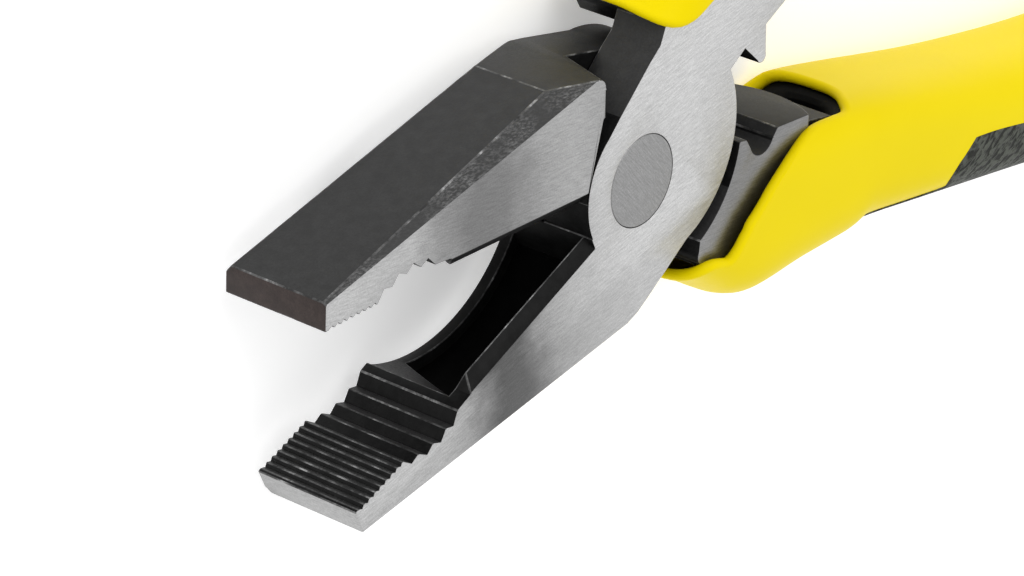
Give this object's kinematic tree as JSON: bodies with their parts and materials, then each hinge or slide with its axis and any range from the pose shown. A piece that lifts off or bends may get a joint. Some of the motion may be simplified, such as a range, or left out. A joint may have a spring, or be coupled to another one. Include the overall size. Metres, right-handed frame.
{
  "type": "lineman pliers",
  "caption": "Two crossed steel halves on a rivet, with gripping jaws, a side cutter, a crimping tooth and nest behind the joint, and two-colour handle grips.",
  "frame": {"origin": "on the joint axis, at the back face of the head, which is the rivet's back face", "axes": "+Z along the joint axis towards the front face, +X through the middle of the open jaws towards the tips"},
  "size_m": [0.2161, 0.1234, 0.017],
  "materials": {
    "half_steel": "black oxide with the front faces ground bright",
    "rivet_steel": "ground flat with the head",
    "grip_rubber": "leather-grained, matt",
    "grip_plastic": "smooth satin"
  },
  "bodies": {
    "back": {"back_half": "half_steel", "back_grip_core": "grip_rubber", "back_grip_shell": "grip_plastic", "pivot_rivet": "rivet_steel"},
    "front": {"front_half": "half_steel", "front_grip_core": "grip_rubber", "front_grip_shell": "grip_plastic"}
  },
  "joints": [
    {"name": "pivot", "type": "hinge", "parent": "back", "child": "front", "pos_m": [0, 0, 0.0065], "axis": [0, 0, 1], "range_deg": [-25.9, 20]}
  ]
}
